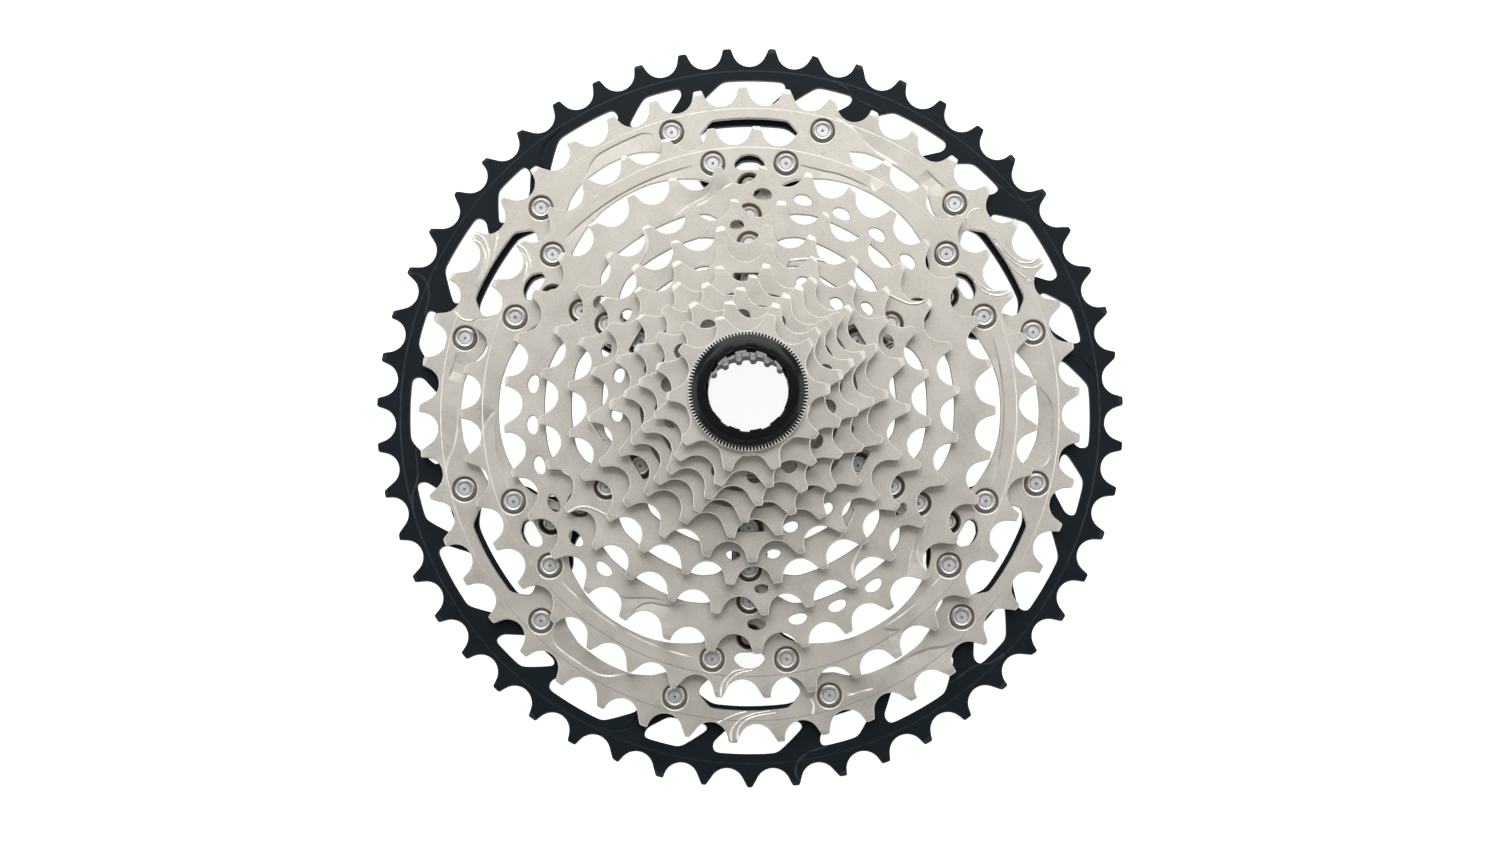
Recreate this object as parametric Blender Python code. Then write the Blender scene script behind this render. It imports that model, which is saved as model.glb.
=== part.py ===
"""Twelve-speed bicycle cassette sprocket, 10 to 51 teeth, lying on its hub side with its axis along +Z."""

import math

import bmesh
import bpy
from mathutils import Vector
from mathutils.geometry import tessellate_polygon

# Driving dimensions, in metres and degrees. The origin is on the axis, in the plane of the back face.
PITCH = 0.0127  # chain pitch
TIP_HEIGHT = 0.00145  # tooth tip above the pitch circle
TIP_HALF_WIDTH = 0.0013
SEAT_RADIUS = 0.00388  # hollow that a chain roller lies in
SEAT_SPREAD = 48  # half the angle of that hollow
STEP = 0.00365  # from one sprocket's front face to the next
FIRST_TOP = 0.0020  # front face of the largest sprocket
PLATE = 0.0018  # thickness of every other sprocket
GAP = 0.0003  # clearance between pieces that touch
TEETH = (51, 45, 39, 33, 28, 24, 21, 18, 16, 14, 12, 10)

# Angle of one tooth of each sprocket from +X: the shift ramps need the teeth timed like this
TOOTH_AT = {51: 1.8, 45: 3.2, 39: 5.5, 33: 10.1, 28: 3.8, 24: 9.1}
TOOTH_AT |= {21: 14.1, 18: 2.0, 16: 20.0, 14: 17.3, 12: 12.0, 10: 2.0}

# Splined bore that fits the freewheel body
SPLINES = 23
SPLINE_CREST = 0.0139
SPLINE_ROOT = 0.0150
HUB_RADIUS = 0.0195
HUB_SIDES = 24

# Riveted joints: radius of each ring of rivets, and their angles
ARMS = [30 + 60 * arm for arm in range(6)]
SECTORS = [60 * sector for sector in range(6)]
OUTER_RING = (0.0823, [15.5 + 30 * step for step in range(12)])
PAIR_RING = (0.0703, [arm + side for arm in ARMS for side in (-8.4, 8.4)])
LARGE_ARM_RING = (0.0633, ARMS)
MIDDLE_ARM_RING = (0.0538, ARMS)
MIDDLE_STUD_RING = (0.0452, ARMS)
SMALL_STUD_RING = (0.0344, ARMS)
WEB_STUD_RING = (0.0240, SECTORS[::2])
RIVET_SHANK = 0.0024
RIVET_SHOULDER = 0.0036
RIVET_HEAD = 0.0031
RIVET_HEAD_HEIGHT = 0.0009
RIVET_SIDES = 8
RIVET_HOLE = RIVET_SHANK + GAP
STUD_SHANK = 0.0018
STUD_HOLE = STUD_SHANK + GAP

# Levels of the three carriers
LARGE_BASE = 0.0
LARGE_LOWER_TOP = 0.00355
LARGE_TOP = 0.0072
MIDDLE_BASE = 0.0076
MIDDLE_LOWER_TOP = 0.01085
MIDDLE_TOP = 0.0145
SMALL_BASE = 0.0149
SMALL_LOWER_TOP = 0.01815
SMALL_FLANGE = (0.0206, 0.0218)
SMALL_FLANGE_RADIUS = 0.0272
SMALL_TOP = 0.02545

# Lock ring and its washer
WASHER = (0.0433, 0.0446)
WASHER_RADII = (0.0136, 0.0164)
FLANGE = (0.0449, 0.0464)
FLANGE_RADIUS = 0.0156
SKIRT_BASE = 0.0375
SKIRT_RADIUS = 0.0132
TOOL_NOTCHES = 12
TOOL_CREST = 0.0107
TOOL_ROOT = 0.0113

# Finishes: colour, metallic, roughness
BLACK = ((0.018, 0.022, 0.030), 0.9, 0.38)
SILVER = ((0.56, 0.53, 0.49), 1.0, 0.34)
DARK = ((0.10, 0.10, 0.11), 0.9, 0.45)
RIVET = ((0.58, 0.61, 0.66), 1.0, 0.28)


def polar(radius, degrees):
    angle = math.radians(degrees)
    return radius * math.cos(angle), radius * math.sin(angle)


def pitch_radius(teeth):
    return PITCH / 2 / math.sin(math.pi / teeth)


def top_of(teeth):
    return FIRST_TOP + STEP * TEETH.index(teeth)


def base_of(teeth):
    return 0.0 if teeth == TEETH[0] else top_of(teeth) - PLATE


def tooth_angle(teeth, number):
    return TOOTH_AT[teeth] + 360 * number / teeth


# Outlines: each is a loop of (x, y) points


def seat(radius, degrees):
    """Three points of the hollow between two teeth, centred on the pitch circle."""
    x, y = polar(radius, degrees)
    sides = [polar(SEAT_RADIUS, degrees + 180 - turn) for turn in (-SEAT_SPREAD, 0, SEAT_SPREAD)]
    return [(x + dx, y + dy) for dx, dy in sides]


def toothed(teeth):
    """Outer edge of a sprocket."""
    radius = pitch_radius(teeth)
    tip = radius + TIP_HEIGHT
    half_tip = math.degrees(TIP_HALF_WIDTH / tip)
    loop = []
    for number in range(teeth):
        tooth = tooth_angle(teeth, number)
        loop += [polar(tip, tooth + side) for side in (-half_tip, half_tip)]
        loop += seat(radius, tooth + 180 / teeth)
    return loop


def circle(radius, sides, centre=(0, 0), start=0.0):
    loop = []
    for side in range(sides):
        x, y = polar(radius, start + 360 * side / sides)
        loop.append((centre[0] + x, centre[1] + y))
    return loop


def ring_holes(ring, radius):
    """One hole at each place of a ring of rivets."""
    return [circle(radius, RIVET_SIDES, polar(ring[0], angle), angle) for angle in ring[1]]


def mirrored(half, folds=6):
    """Loop from (degrees, radius) points that cover half of one fold, mirrored and repeated."""
    fold = 360 / folds
    back = [(fold - angle, radius) for angle, radius in reversed(half)]
    whole = half + [point for point in back if point[0] not in (fold, fold / 2)]
    return [polar(radius, angle + fold * turn) for turn in range(folds) for angle, radius in whole]


def turned(loop, degrees):
    """A loop drawn about the +X direction, turned about the axis."""
    cosine, sine = polar(1, degrees)
    return [(x * cosine - y * sine, x * sine + y * cosine) for x, y in loop]


def both_sides(half):
    """Closed loop from the points of its left half, from inside to outside."""
    return [(x, -y) for x, y in half] + [(x, y) for x, y in reversed(half) if y]


def slot(radius, width, height, degrees):
    """Half-moon opening below a tooth: flat towards the axis, arched towards the tooth."""
    low = radius - height / 2
    high = radius + height / 2
    half = width / 2
    points = [(low, -half), (radius, -half), (high, 0), (radius, half), (low, half)]
    return turned(points, degrees)


def arc_window(inner, outer, half_angle, middle):
    """Opening between two radii, with cut corners."""
    corner = 0.8 * half_angle
    outside = [polar(outer, middle + side * corner) for side in (-1, -0.35, 0.35, 1)]
    ends = [polar((inner + outer) / 2, middle + side * half_angle) for side in (1, -1)]
    inside = [polar(inner, middle + side * corner) for side in (1, -1)]
    return outside + ends[:1] + inside + ends[1:]


def splined():
    """Bore outline that slides on the freewheel body."""
    loop = []
    for spline in range(SPLINES):
        angle = 360 * spline / SPLINES
        loop += [polar(SPLINE_ROOT, angle), polar(SPLINE_CREST, angle + 180 / SPLINES)]
    return loop


# Solids


def wall(shape, loop, base, top):
    """Band of faces along a loop. Returns its lower and upper corners."""
    lower = [shape.verts.new((x, y, base)) for x, y in loop]
    upper = [shape.verts.new((x, y, top)) for x, y in loop]
    for side in range(len(loop)):
        after = (side + 1) % len(loop)
        shape.faces.new((lower[side], lower[after], upper[after], upper[side]))
    return lower, upper


def cap(shape, rings):
    """Flat face between rings of corners at one height."""
    corners = [corner for ring in rings for corner in ring]
    flat = [[Vector((corner.co.x, corner.co.y, 0)) / PITCH for corner in ring] for ring in rings]
    for triangle in tessellate_polygon(flat):
        shape.faces.new([corners[index] for index in triangle])


def stacked(base, sections, through=()):
    """Closed mesh of sections that stand on each other, as (outline, top, holes, posts).

    A section's holes run down from its top to the base, its posts are (loop, top) pairs that rise from its
    top, and the loops in through run from the base to the last top.
    """
    shape = bmesh.new()
    bottom, tops = [], []
    height = base
    under = []
    for outline, top, holes, posts in sections:
        lower, upper = wall(shape, outline, height, top)
        if under:
            cap(shape, under + [lower])
        else:
            bottom.append(lower)
        opened = [wall(shape, hole, base, top) for hole in holes]
        raised = [wall(shape, loop, top, post_top) for loop, post_top in posts]
        bottom += [ring[0] for ring in opened]
        tops += [ring[1] for ring in raised]
        under = [upper] + [ring[1] for ring in opened] + [ring[0] for ring in raised]
        height = top
    inside = [wall(shape, loop, base, height) for loop in through]
    cap(shape, under + [ring[1] for ring in inside])
    cap(shape, bottom + [ring[0] for ring in inside])
    for ring in tops:
        cap(shape, [ring])
    bmesh.ops.recalc_face_normals(shape, faces=shape.faces)
    return shape


def prism(loops, base, top):
    """Closed mesh between two heights, of an outline followed by its holes."""
    return stacked(base, [(loops[0], top, loops[1:], [])])


def turning(profile, sides):
    """Closed mesh of a profile of (radius, height) points turned about the axis, with flat ends."""
    shape = bmesh.new()
    rings = []
    for radius, height in profile:
        rings.append([shape.verts.new((x, y, height)) for x, y in circle(radius, sides)])
    for lower, upper in zip(rings, rings[1:]):
        for side in range(sides):
            after = (side + 1) % sides
            shape.faces.new((lower[side], lower[after], upper[after], upper[side]))
    shape.faces.new(reversed(rings[0]))
    shape.faces.new(rings[-1])
    bmesh.ops.recalc_face_normals(shape, faces=shape.faces)
    return shape


def add_object(name, shape):
    mesh = bpy.data.meshes.new(name)
    shape.to_mesh(mesh)
    shape.free()
    piece = bpy.data.objects.new(name, mesh)
    bpy.context.scene.collection.objects.link(piece)
    return piece


def finish(piece, look):
    """Gives a piece a material of its own."""
    colour, metallic, roughness = look
    material = bpy.data.materials.new(piece.name + "_finish")
    material.use_nodes = True
    shader = material.node_tree.nodes["Principled BSDF"]
    shader.inputs["Base Color"].default_value = (*colour, 1)
    shader.inputs["Metallic"].default_value = metallic
    shader.inputs["Roughness"].default_value = roughness
    piece.data.materials.append(material)
    return piece


def cut(piece, shape):
    """Cuts a helper shape out of a piece."""
    helper = add_object(piece.name + "_cutter", shape)
    helper.hide_render = True
    helper.display_type = "WIRE"
    modifier = piece.modifiers.new(helper.name, "BOOLEAN")
    modifier.operation = "DIFFERENCE"
    modifier.solver = "EXACT"
    modifier.object = helper
    return piece


def plate(teeth, holes, look=SILVER):
    """A sprocket of one thickness."""
    name = f"sprocket_{teeth}t"
    return finish(add_object(name, prism([toothed(teeth)] + holes, base_of(teeth), top_of(teeth))), look)


# The largest cluster


def repeated(points, field):
    """(degrees, radius) points moved on to one of the largest sprocket's twelve fields."""
    return [polar(radius, angle + 30 * field) for angle, radius in points]


def truss_windows():
    """The two openings of the largest sprocket's rim that each of its twelve fields has."""
    short = [(12.4, 0.0951), (18.0, 0.0951), (22.5, 0.0892), (21.6, 0.0880), (16.0, 0.0880), (12.4, 0.0925)]
    long = [(24.6, 0.0951), (34.6, 0.0951), (39.5, 0.0889), (38.6, 0.0866), (29.0, 0.0866), (24.6, 0.0925)]
    return [repeated(window, field) for field in range(12) for window in (short, long)]


def make_sprocket_51():
    lobe = [(8.3, 0.0820), (11.4, 0.0796), (13.5, 0.0779), (17.5, 0.0779), (19.6, 0.0796), (22.7, 0.0820)]
    inner = [point for field in range(12) for point in repeated(lobe, field)]
    plate(51, [inner] + truss_windows() + ring_holes(OUTER_RING, RIVET_HOLE), BLACK)


def make_sprocket_45():
    field = [(0, 0.0807), (6, 0.0802), (10.5, 0.0782), (14, 0.0750), (17.0, 0.0705), (19.0, 0.0665)]
    tab = [(22.0, 0.0654), (25.2, 0.0672), (26.0, 0.0703), (25.0, 0.0732), (21.8, 0.0750)]
    window = [(19.8, 0.0780), (21.2, 0.0816), (24.0, 0.0833), (30, 0.0834)]
    holes = ring_holes(OUTER_RING, RIVET_HOLE) + ring_holes(PAIR_RING, RIVET_HOLE)
    plate(45, [mirrored(field + tab + window)] + holes)


def make_sprocket_39():
    field = [(0, 0.0697), (6, 0.0695), (11, 0.0686), (15, 0.0674), (18.6, 0.0662), (21.6, 0.0642)]
    tab = [(24.2, 0.0608), (26.5, 0.0586), (30, 0.0579)]
    half_window = [(0.0669, 0.0022), (0.0685, 0.0043), (0.0703, 0.0040), (0.0717, 0)]
    windows = [turned(both_sides(half_window), arm) for arm in ARMS]
    holes = ring_holes(PAIR_RING, RIVET_HOLE) + ring_holes(LARGE_ARM_RING, RIVET_HOLE)
    plate(39, [mirrored(field + tab)] + windows + holes)


def star(half_arm, hub_radius):
    """Hub with six arms, from one side of an arm listed outwards as (along, across)."""
    width = half_arm[0][1]
    root = (math.sqrt(hub_radius**2 - width**2), width)
    loop = []
    for arm in ARMS:
        loop += turned(both_sides([root] + half_arm), arm)
        loop += [polar(hub_radius, arm + beside) for beside in (21, 30, 39)]
    return loop


def make_carrier_large():
    """Black six-armed carrier: wide forked arm ends below, a rib along each arm above, and the hub."""
    fork = [(0.0300, 0.0048), (0.0540, 0.0052), (0.0595, 0.0066), (0.0623, 0.0093), (0.0639, 0.0129)]
    rim = [(0.0675, 0.0151), (0.0710, 0.0146), (0.0731, 0.0113), (0.0738, 0.0060), (0.0740, 0)]
    half_window = [(0.0677, 0.0018), (0.0688, 0.0038), (0.0699, 0.0034), (0.0706, 0)]
    windows = [turned(both_sides(half_window), arm) for arm in ARMS]
    rib = [(0.0633, 0.0039), (0.0661, 0.0027), (0.0672, 0)]
    sections = [
        (star(fork + rim, HUB_RADIUS), LARGE_LOWER_TOP, windows + ring_holes(PAIR_RING, RIVET_HOLE), []),
        (star(rib, HUB_RADIUS - GAP), LARGE_TOP, ring_holes(LARGE_ARM_RING, RIVET_HOLE), []),
    ]
    finish(add_object("carrier_large", stacked(LARGE_BASE, sections, [splined()])), BLACK)


def rivet_profile(tail, steps, head):
    """Side of a rivet from its tail up: steps are the heights that its spacing shoulder runs between."""
    profile = [(RIVET_SHANK, tail)]
    for radius, height in zip((RIVET_SHANK, RIVET_SHOULDER, RIVET_SHOULDER, RIVET_SHANK), steps):
        profile.append((radius, height))
    top = head + RIVET_HEAD_HEIGHT
    return profile + [(RIVET_SHANK, head), (RIVET_HEAD, head), (0.62 * RIVET_HEAD, top)]


def make_rivets(name, ring, tail, steps, head):
    """One separate rivet at each place of a ring."""
    for number, angle in enumerate(ring[1], 1):
        rivet = add_object(f"{name}_{number:02d}", turning(rivet_profile(tail, steps, head), RIVET_SIDES))
        rivet.location = (*polar(ring[0], angle), 0)
        rivet.rotation_euler.z = math.radians(angle)
        finish(rivet, RIVET)


def shoulder_between(lower_top, upper_base):
    """Heights of a shoulder that spaces two plates."""
    return (lower_top + GAP, lower_top + GAP, upper_base - GAP, upper_base - GAP)


def make_large_cluster():
    make_sprocket_51()
    make_sprocket_45()
    make_sprocket_39()
    make_carrier_large()
    outer = shoulder_between(top_of(51), base_of(45))
    make_rivets("outer_rivet", OUTER_RING, GAP, outer, top_of(45) + GAP)
    pair = shoulder_between(top_of(45), base_of(39))
    make_rivets("pair_rivet", PAIR_RING, LARGE_BASE + GAP, pair, top_of(39) + GAP)
    make_rivets("large_arm_rivet", LARGE_ARM_RING, LARGE_BASE + GAP, (), top_of(39) + GAP)


# The middle cluster


def make_sprocket_33():
    edge = [(0, 0.0566), (12, 0.0566), (18, 0.0555), (22, 0.0525), (25.5, 0.0497), (30, 0.0489)]
    below = [3, 4, 5, 6, 7, 15, 16, 17, 18, 19, 20, 24, 25, 26, 27]
    slots = [slot(0.0602, 0.0050, 0.0031, tooth_angle(33, number)) for number in below]
    plate(33, [mirrored(edge)] + slots + ring_holes(MIDDLE_ARM_RING, RIVET_HOLE))


def make_sprocket_28():
    edge = [(0, 0.0489), (14, 0.0489), (19, 0.0475), (23, 0.0440), (26, 0.0416), (30, 0.0409)]
    slots = [slot(0.0508, 0.0038, 0.0024, tooth_angle(28, number)) for number in (7, 11, 21, 25)]
    plate(28, [mirrored(edge)] + slots + ring_holes(MIDDLE_STUD_RING, RIVET_HOLE))


def make_carrier_middle():
    """Six-armed carrier with two steps on each arm, and studs formed on the upper one."""
    lower = [(0.0552, 0.0045), (0.0568, 0.0030), (0.0574, 0)]
    upper = [(0.0464, 0.0040), (0.0480, 0.0026), (0.0484, 0)]
    studs = [(hole, top_of(28) + GAP) for hole in ring_holes(MIDDLE_STUD_RING, RIVET_SHANK)]
    sections = [
        (star(lower, HUB_RADIUS), MIDDLE_LOWER_TOP, ring_holes(MIDDLE_ARM_RING, RIVET_HOLE), []),
        (star(upper, HUB_RADIUS - GAP), MIDDLE_TOP, [], studs),
    ]
    finish(add_object("carrier_middle", stacked(MIDDLE_BASE, sections, [splined()])), DARK)


def make_middle_cluster():
    make_sprocket_33()
    make_sprocket_28()
    make_carrier_middle()
    make_rivets("middle_arm_rivet", MIDDLE_ARM_RING, MIDDLE_BASE + GAP, (), top_of(33) + GAP)


# The small cluster


def make_sprocket_24():
    edge = [(0, 0.0403), (12, 0.0403), (17, 0.0385), (21, 0.0340), (24.5, 0.0310), (30, 0.0302)]
    slots = [slot(0.0420, 0.0039, 0.0026, tooth_angle(24, number)) for number in (1, 2, 9, 10, 17, 18)]
    plate(24, [mirrored(edge)] + slots + ring_holes(SMALL_STUD_RING, RIVET_HOLE))


def make_sprocket_21():
    half_window = [(0.0298, 0.0030), (0.0310, 0.0043), (0.0356, 0.0043)]
    windows = [turned(both_sides(half_window), arm) for arm in ARMS]
    slots = [slot(0.0363, 0.0040, 0.0030, tooth_angle(21, number)) for number in (2, 3, 9, 10, 16, 17)]
    bore = circle(HUB_RADIUS + GAP, HUB_SIDES)
    plate(21, [bore] + windows + slots + ring_holes(WEB_STUD_RING, STUD_HOLE))


def make_carrier_small():
    """Carrier with six short arms, a flange above them and studs formed on both."""
    arm = [(0.0355, 0.0042), (0.0372, 0.0028), (0.0378, 0)]
    inner = circle(HUB_RADIUS - GAP, HUB_SIDES)
    head = top_of(24) + GAP + RIVET_HEAD_HEIGHT / 2
    arm_studs = [(stud, head) for stud in ring_holes(SMALL_STUD_RING, RIVET_SHANK)]
    web_studs = [(stud, top_of(21) + 2 * GAP) for stud in ring_holes(WEB_STUD_RING, STUD_SHANK)]
    sections = [
        (star(arm, HUB_RADIUS), SMALL_LOWER_TOP, [], arm_studs),
        (inner, SMALL_FLANGE[0], [], []),
        (circle(SMALL_FLANGE_RADIUS, HUB_SIDES), SMALL_FLANGE[1], [], web_studs),
        (inner, SMALL_TOP, [], []),
    ]
    finish(add_object("carrier_small", stacked(SMALL_BASE, sections, [splined()])), DARK)


# Loose sprockets and spacers


def make_spacer(name, lower, upper):
    """Plain ring that keeps two loose sprockets apart."""
    outline = [circle(HUB_RADIUS, HUB_SIDES), circle(SPLINE_ROOT + GAP, HUB_SIDES)]
    finish(add_object(name, prism(outline, top_of(lower) + GAP, base_of(upper) - GAP)), DARK)


def make_sprocket_18():
    windows = [arc_window(0.0215, 0.0296, 22, sector + 23.75) for sector in SECTORS]
    plate(18, [splined()] + windows)


def make_sprocket_16():
    windows = [arc_window(0.0208, 0.0254, 20, sector + 23.75) for sector in SECTORS]
    plate(16, [splined()] + windows)


def with_collar(teeth, holes, collar_radius, collar_top):
    """A small sprocket with its spacing collar in one piece."""
    collar = circle(collar_radius, HUB_SIDES)
    sections = [(toothed(teeth), top_of(teeth), holes, []), (collar, collar_top, [], [])]
    shape = stacked(base_of(teeth), sections, [splined()])
    finish(add_object(f"sprocket_{teeth}t", shape), SILVER)


def make_small_sprockets():
    places = [polar(0.0216, tooth_angle(14, number)) for number in range(14)]
    holes = [circle(0.0021, RIVET_SIDES, place) for place in places]
    with_collar(14, holes, 0.0182, base_of(12) - GAP)
    with_collar(12, [], 0.0170, base_of(10) - GAP)
    with_collar(10, [], WASHER_RADII[1] - GAP, WASHER[0] - GAP)


# Lock ring


def make_lock_washer():
    outline = [circle(WASHER_RADII[1], 36), circle(WASHER_RADII[0], 36)]
    finish(add_object("lock_washer", prism(outline, *WASHER)), SILVER)


def tool_bore():
    """Bore of the lock ring, with the notches that its tool engages."""
    loop = []
    for notch in range(TOOL_NOTCHES):
        middle = 360 * notch / TOOL_NOTCHES
        loop += [polar(TOOL_ROOT, middle - 9), polar(TOOL_ROOT, middle + 9)]
        loop += [polar(TOOL_CREST, middle + 12), polar(TOOL_CREST, middle + 18)]
    return loop


def make_lock_ring():
    """Flange with a threaded skirt that screws into the freewheel body."""
    outer = [(SKIRT_RADIUS, SKIRT_BASE), (SKIRT_RADIUS, FLANGE[0]), (FLANGE_RADIUS, FLANGE[0])]
    outer += [(FLANGE_RADIUS, FLANGE[0] + 0.0007), (FLANGE_RADIUS - 0.0014, FLANGE[1])]
    piece = finish(add_object("lock_ring", turning(outer, 36)), BLACK)
    cut(piece, prism([tool_bore()], SKIRT_BASE - PLATE, FLANGE[1] + PLATE))


def main():
    for old in list(bpy.data.objects):
        bpy.data.objects.remove(old, do_unlink=True)
    make_large_cluster()
    make_middle_cluster()
    make_sprocket_24()
    make_sprocket_21()
    make_carrier_small()
    make_sprocket_18()
    make_spacer("spacer_18_16", 18, 16)
    make_sprocket_16()
    make_spacer("spacer_16_14", 16, 14)
    make_small_sprockets()
    make_lock_washer()
    make_lock_ring()


main()
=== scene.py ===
"""Finished surfaces of a twelve-speed bicycle cassette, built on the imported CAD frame.

Outlines are drawn in millimetres about the cassette's axis; only add_mesh turns them into metres.
"""

import math

import bpy
import numpy as np
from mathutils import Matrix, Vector
from mathutils.geometry import delaunay_2d_cdt


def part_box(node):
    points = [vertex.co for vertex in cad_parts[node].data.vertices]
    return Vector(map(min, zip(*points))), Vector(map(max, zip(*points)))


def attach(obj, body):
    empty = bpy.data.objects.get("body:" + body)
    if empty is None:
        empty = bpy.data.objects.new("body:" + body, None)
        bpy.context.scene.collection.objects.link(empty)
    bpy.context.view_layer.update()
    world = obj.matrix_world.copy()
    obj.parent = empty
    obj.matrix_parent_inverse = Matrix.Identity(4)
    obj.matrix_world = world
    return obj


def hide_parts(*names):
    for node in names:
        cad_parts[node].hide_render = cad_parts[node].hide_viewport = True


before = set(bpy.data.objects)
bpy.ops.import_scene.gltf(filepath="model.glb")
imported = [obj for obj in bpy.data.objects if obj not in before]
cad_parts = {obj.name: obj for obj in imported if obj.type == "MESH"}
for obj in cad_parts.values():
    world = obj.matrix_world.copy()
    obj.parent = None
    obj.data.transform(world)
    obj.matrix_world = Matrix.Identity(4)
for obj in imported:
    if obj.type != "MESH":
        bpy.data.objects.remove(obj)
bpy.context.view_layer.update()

PITCH = 12.7  # of the chain
ROOT = 3.88  # depth of the hollows between the teeth, below the pitch circle
HOLLOW = 4.85  # radius of the hollows
ARMS = [30 + 60 * arm for arm in range(6)]
SECTORS = [60 * sector for sector in range(6)]
EDGE = 0.2  # chamfer along the edges of the plates
CLEARANCE = 0.3  # between a carrier and the sprocket in front of it
SUNK = 0.3  # distance of a rivet's or a stud's base from the face of the piece that it starts in
OVERLAP = 0.2  # of two visible pieces that are one solid
SEAT = 3.0  # radius of the rivets' seats
HUB, UPPER_HUB = 19.5, 19.2  # radii of a carrier's hub, in its lower and its upper piece
SPLINES, SPLINE_CREST, SPLINE_ROOT = 23, 13.9, 15.0
STUDS_28, STUDS_24, STUDS_21 = 45.2, 34.4, 24.0  # radii of the circles of studs, by sprocket
SHARP = 26  # degrees between two faces from which their edge is drawn sharp
GRAIN, WEAR = 2800.0, 520.0  # scales of the fine grain of metal and of the wear on its edges
BATCH = 2000  # points compared with a loop or a line at a time

# Body that carries each sprocket
BODY_OF = {51: "large_cluster", 45: "large_cluster", 39: "large_cluster", 33: "middle_cluster"}
BODY_OF |= {28: "middle_cluster", 24: "small_cluster", 21: "small_cluster"}
BODY_OF |= {teeth: f"cog_{teeth}" for teeth in (18, 16, 14, 12, 10)}

# Angle of the first tooth, and the shapes of the teeth from there on, repeated round the sprocket
TEETH = {
    51: (1.8, "FSLPPNLFFFLSNFFFF"),
    45: (3.2, "LLPFLNFLLPLFFFF"),
    39: (5.5, "PPNLFLFPPFFLP"),
    33: (10.1, "LFFLFLLLFLF"),
    28: (3.8, "LFLLFLF"),
    24: (9.1, "LFLFLFFLLLLF"),
    21: (14.1, "LFLLFFL"),
    18: (2.0, "FLL"),
    16: (20.0, "LFLL"),
    14: (17.3, "LF"),
    12: (12.0, "FLLF"),
    10: (2.0, "FL"),
}

# Shape of a tooth: (x, y) of its two tip corners about the pitch circle, and the degrees that the hollows
# beside it reach round towards it
SHAPES = {
    "F": ((-1.15, 1.45), (1.15, 1.45), 71, 71),
    "L": ((-0.55, 1.35), (1.45, 1.45), 52, 72),
    "P": ((-0.60, 1.30), (0.60, 1.30), 58, 66),
    "S": ((-0.60, 0.55), (1.15, 0.95), 52, 66),
    "N": ((-0.95, 1.50), (0.95, 1.50), 70, 70),
}


# Points and loops


def polar(radius, degrees):
    angle = np.radians(degrees)
    return np.stack([radius * np.cos(angle), radius * np.sin(angle)], -1)


def pitch_radius(teeth):
    return PITCH / 2 / math.sin(math.pi / teeth)


def level(node):
    """Base and top of a CAD node, in millimetres."""
    low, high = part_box(node)
    return low.z * 1000, high.z * 1000


def centre(node):
    low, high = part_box(node)
    return np.array([(low.x + high.x) * 500, (low.y + high.y) * 500])


def turned(points, degrees):
    cosine, sine = polar(1.0, degrees)
    points = np.asarray(points, float)
    return points @ np.array([[cosine, sine], [-sine, cosine]])


def along(points, step, closed=False):
    """Points at an even spacing along a line or a loop."""
    points = np.asarray(points, float)
    if closed:
        points = np.vstack([points, points[:1]])
    lengths = np.hypot(*np.diff(points, axis=0).T)
    travelled = np.concatenate([[0], np.cumsum(lengths)])
    count = max(2, int(round(travelled[-1] / step)))
    places = np.linspace(0, travelled[-1], count + 1)
    even = np.stack([np.interp(places, travelled, points[:, axis]) for axis in (0, 1)], -1)
    return even[:-1] if closed else even


def softened(loop, reach, step=0.45):
    """A loop with its corners rounded over about twice the reach."""
    loop = along(loop, step, closed=True)
    for _ in range(max(1, round(2 * (reach / step) ** 2))):
        loop = 0.5 * loop + 0.25 * (np.roll(loop, 1, 0) + np.roll(loop, -1, 0))
    return loop


def bent(points, closed=False, step=0.5):
    """(degrees, radius) points joined by lines that follow the circle."""
    points = np.asarray(points, float)
    if closed:
        points = np.vstack([points, points[:1] + [360 * round((points[-1, 0] - points[0, 0]) / 360), 0]])
    line = []
    for (a0, r0), (a1, r1) in zip(points, points[1:]):
        span = math.hypot(math.radians(a1 - a0) * (r0 + r1) / 2, r1 - r0)
        share = np.linspace(0, 1, max(2, int(span / step) + 1), endpoint=False)
        line.append(polar(r0 + (r1 - r0) * share, a0 + (a1 - a0) * share))
    if not closed:
        line.append(polar(points[-1:, 1], points[-1:, 0]))
    return np.vstack(line)


def mirrored(half):
    """Closed loop of six sectors from (degrees, radius) points that cover half of one."""
    back = [(60 - angle, radius) for angle, radius in reversed(half)]
    whole = list(half) + [point for point in back if point[0] not in (60, 30)]
    return bent([(angle + sector, radius) for sector in SECTORS for angle, radius in whole], True)


def circle(radius, place=(0, 0), step=0.45):
    count = max(24, int(2 * math.pi * radius / step))
    return polar(radius, np.arange(count) * 360 / count) + np.asarray(place)


def area(loop):
    x, y = loop.T
    return 0.5 * np.sum(x * np.roll(y, -1) - np.roll(x, -1) * y)


def faced(loop, outer):
    """The loop with the material on its left."""
    return loop if (area(loop) > 0) == outer else loop[::-1]


def inset(loop, width):
    """The loop moved into the material by a width, a little less at sharp corners."""
    before = loop - np.roll(loop, 1, 0)
    after = np.roll(loop, -1, 0) - loop
    before = before / np.linalg.norm(before, axis=1)[:, None]
    after = after / np.linalg.norm(after, axis=1)[:, None]
    normals = np.stack([-before[:, 1] - after[:, 1], before[:, 0] + after[:, 0]], -1)
    length = np.linalg.norm(normals, axis=1)
    return loop + normals / length[:, None] * (width / np.maximum(length / 2, 0.6))[:, None]


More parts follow.
